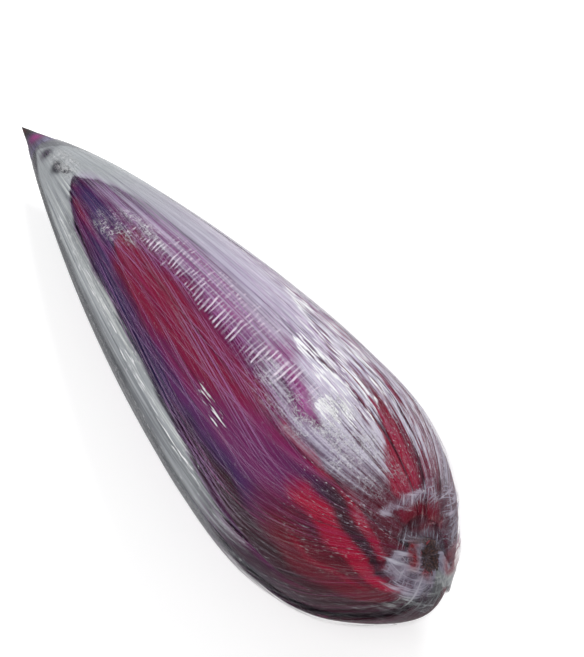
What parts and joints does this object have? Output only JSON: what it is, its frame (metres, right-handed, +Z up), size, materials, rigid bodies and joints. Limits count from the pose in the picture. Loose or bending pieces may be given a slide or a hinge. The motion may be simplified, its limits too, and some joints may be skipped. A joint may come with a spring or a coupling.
{
  "type": "banana blossom in stretch film",
  "caption": "Long pointed banana blossom of overlapping purple and red bracts round an inner bud, wound in clear stretch film, lying on its side.",
  "frame": {"origin": "under the middle of the part, on the surface that it rests on", "axes": "+Z up, +X from the pointed tip towards the cut stem, +Y across"},
  "size_m": [0.2802, 0.0888, 0.0907],
  "materials": {
    "stretch_film": "clear glossy polyethylene stretch film, milky where it doesn't touch",
    "outer_bract": "waxy crimson and purple bract, finely ribbed lengthwise",
    "under_bract": "waxy dark purple bract",
    "bud": "tightly rolled dark purple bracts, dry brown point",
    "cut_stem": "dried, fibrous brown cut face"
  },
  "bodies": {
    "root": {"film_wrap": "stretch_film", "bract_front": "outer_bract", "bract_right": "outer_bract", "bract_left": "outer_bract", "bract_second": "under_bract", "bract_under_right": "under_bract", "bract_under_left": "under_bract", "bract_inner_front": "under_bract", "bract_inner_back": "under_bract", "inner_bud": "bud", "stem_stub": "cut_stem"}
  },
  "joints": []
}
